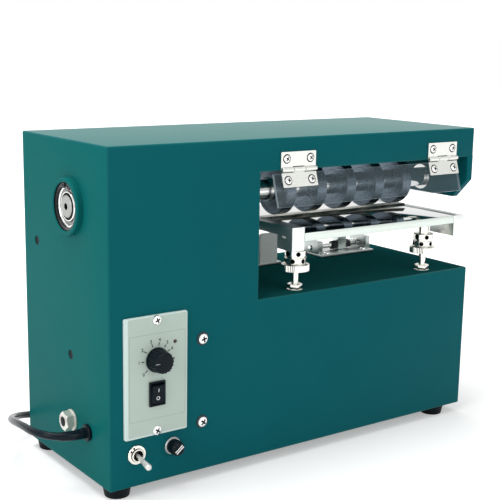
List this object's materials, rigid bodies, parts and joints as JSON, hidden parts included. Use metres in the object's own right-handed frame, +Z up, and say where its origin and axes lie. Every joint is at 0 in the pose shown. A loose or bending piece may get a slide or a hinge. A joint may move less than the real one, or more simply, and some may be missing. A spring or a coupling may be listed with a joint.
{
  "type": "leather skiving machine",
  "caption": "Bench-top powered leather skiving machine: belt-driven feed discs over a fixed blade, a jack-screw tilting table, a hinged clear guard and a speed control in a steel housing.",
  "frame": {"origin": "on the surface that the machine stands on, below the middle of the machine without its cord", "axes": "+X runs to the right along the front, +Y runs to the back, +Z is up"},
  "size_m": [0.4773, 0.3187, 0.31],
  "materials": {
    "teal_paint": "satin",
    "table_steel": "polished",
    "bright_steel": "polished",
    "bearing_steel": "satin",
    "zinc_steel": "satin",
    "dark_steel": "satin",
    "disc_black": "satin",
    "foot_rubber": "matte",
    "blade_steel": "satin",
    "cast_alloy": "satin",
    "nickel": "polished",
    "belt_rubber": "matte",
    "cord_rubber": "satin",
    "black_plastic": "satin",
    "panel_plastic": "satin",
    "clear_plastic": "gloss",
    "lamp_red": "gloss"
  },
  "bodies": {
    "housing": {"base_tray": "teal_paint", "beam_end_plate": "teal_paint", "beam_floor": "teal_paint", "bearing_boss": "teal_paint", "bearing_circlip": "dark_steel", "bearing_left_outer_race": "bearing_steel", "bearing_right": "bearing_steel", "control_panel": "panel_plastic", "cord_bushing": "cord_rubber", "cord_coil": "cord_rubber", "front_sheet": "teal_paint", "fuse_holder": "nickel", "gearbox": "cast_alloy", "hinge_left_upper_leaf": "bright_steel", "hinge_right_upper_leaf": "bright_steel", "left_side_plate": "teal_paint", "mains_cord": "cord_rubber", "mains_plug": "cord_rubber", "motor_body": "black_plastic", "motor_mount_plate": "zinc_steel", "pivot_bracket_left": "zinc_steel", "pivot_bracket_right": "zinc_steel", "pivot_rod_left": "bright_steel", "pivot_rod_right": "bright_steel", "rear_cover": "teal_paint", "rocker_frame": "black_plastic", "rubber_foot_1": "foot_rubber", "rubber_foot_2": "foot_rubber", "rubber_foot_3": "foot_rubber", "rubber_foot_4": "foot_rubber", "shelf_sheet": "teal_paint", "side_bolt": "zinc_steel", "speed_controller": "black_plastic", "status_led": "lamp_red", "toggle_switch_body": "nickel", "top_sheet": "teal_paint", "tower_inner_wall": "teal_paint", "v_belt": "belt_rubber"},
    "arbor": {"feed_shaft": "bright_steel", "feed_disc_1": "disc_black", "feed_disc_2": "disc_black", "feed_disc_3": "disc_black", "feed_disc_4": "disc_black", "feed_disc_5": "disc_black", "driven_pulley": "cast_alloy", "bearing_left_inner_race": "bearing_steel"},
    "motor_spindle": {"motor_pulley": "cast_alloy"},
    "guard": {"guard_plate": "clear_plastic", "hinge_left_lower_leaf": "bright_steel", "hinge_right_lower_leaf": "bright_steel"},
    "table": {"table_plate": "table_steel", "table_arm_left": "table_steel", "table_arm_right": "table_steel", "skiving_blade": "blade_steel"},
    "jack_left": {"jack_screw_left": "zinc_steel"},
    "jack_right": {"jack_screw_right": "zinc_steel"},
    "speed_knob": {"speed_knob": "black_plastic"},
    "rocker": {"rocker_button": "black_plastic"},
    "toggle": {"toggle_lever": "bright_steel"},
    "fuse_cap": {"fuse_cap": "black_plastic"}
  },
  "joints": [
    {"name": "arbor_spin", "type": "hinge", "parent": "housing", "child": "arbor", "pos_m": [-0.2114, -0.00294, 0.252], "axis": [1, 0, 0], "continuous": true},
    {"name": "motor_spin", "type": "hinge", "parent": "housing", "child": "motor_spindle", "pos_m": [-0.1269, -0.00294, 0.1136], "axis": [1, 0, 0], "continuous": true},
    {"name": "guard_hinge", "type": "hinge", "parent": "housing", "child": "guard", "pos_m": [0.0745, -0.07384, 0.2808], "axis": [-1, 0, 0], "range_deg": [-17, 118]},
    {"name": "jack_left_turn", "type": "hinge", "parent": "housing", "child": "jack_left", "pos_m": [-0.0006, -0.05494, 0.162], "axis": [0, 0, 1], "range_deg": [-360, 360]},
    {"name": "jack_right_turn", "type": "hinge", "parent": "housing", "child": "jack_right", "pos_m": [0.1692, -0.05494, 0.162], "axis": [0, 0, 1], "range_deg": [-360, 360]},
    {"name": "table_tilt", "type": "hinge", "parent": "housing", "child": "table", "pos_m": [0.08785, 0.06506, 0.1703], "axis": [-1, 0, 0], "range_deg": [-0.5, 0.5]},
    {"name": "speed_knob_turn", "type": "hinge", "parent": "housing", "child": "speed_knob", "pos_m": [-0.1662, -0.07394, 0.124], "axis": [0, 1, 0], "range_deg": [-60, 240]},
    {"name": "rocker_tilt", "type": "hinge", "parent": "housing", "child": "rocker", "pos_m": [-0.1662, -0.07514, 0.0935], "axis": [-1, 0, 0], "range_deg": [0, 16]},
    {"name": "toggle_tilt", "type": "hinge", "parent": "housing", "child": "toggle", "pos_m": [-0.1856, -0.07304, 0.0402], "axis": [-1, 0, 0], "range_deg": [0, 26]},
    {"name": "fuse_cap_turn", "type": "hinge", "parent": "housing", "child": "fuse_cap", "pos_m": [-0.1484, -0.07094, 0.0405], "axis": [0, 1, 0], "range_deg": [0, 90]}
  ],
  "couplings": [
    {"joint": "motor_spin", "follows": "arbor_spin", "ratio": 1.4},
    {"joint": "jack_right_turn", "follows": "jack_left_turn", "ratio": 1},
    {"joint": "table_tilt", "follows": "jack_left_turn", "ratio": 0.0013263}
  ]
}
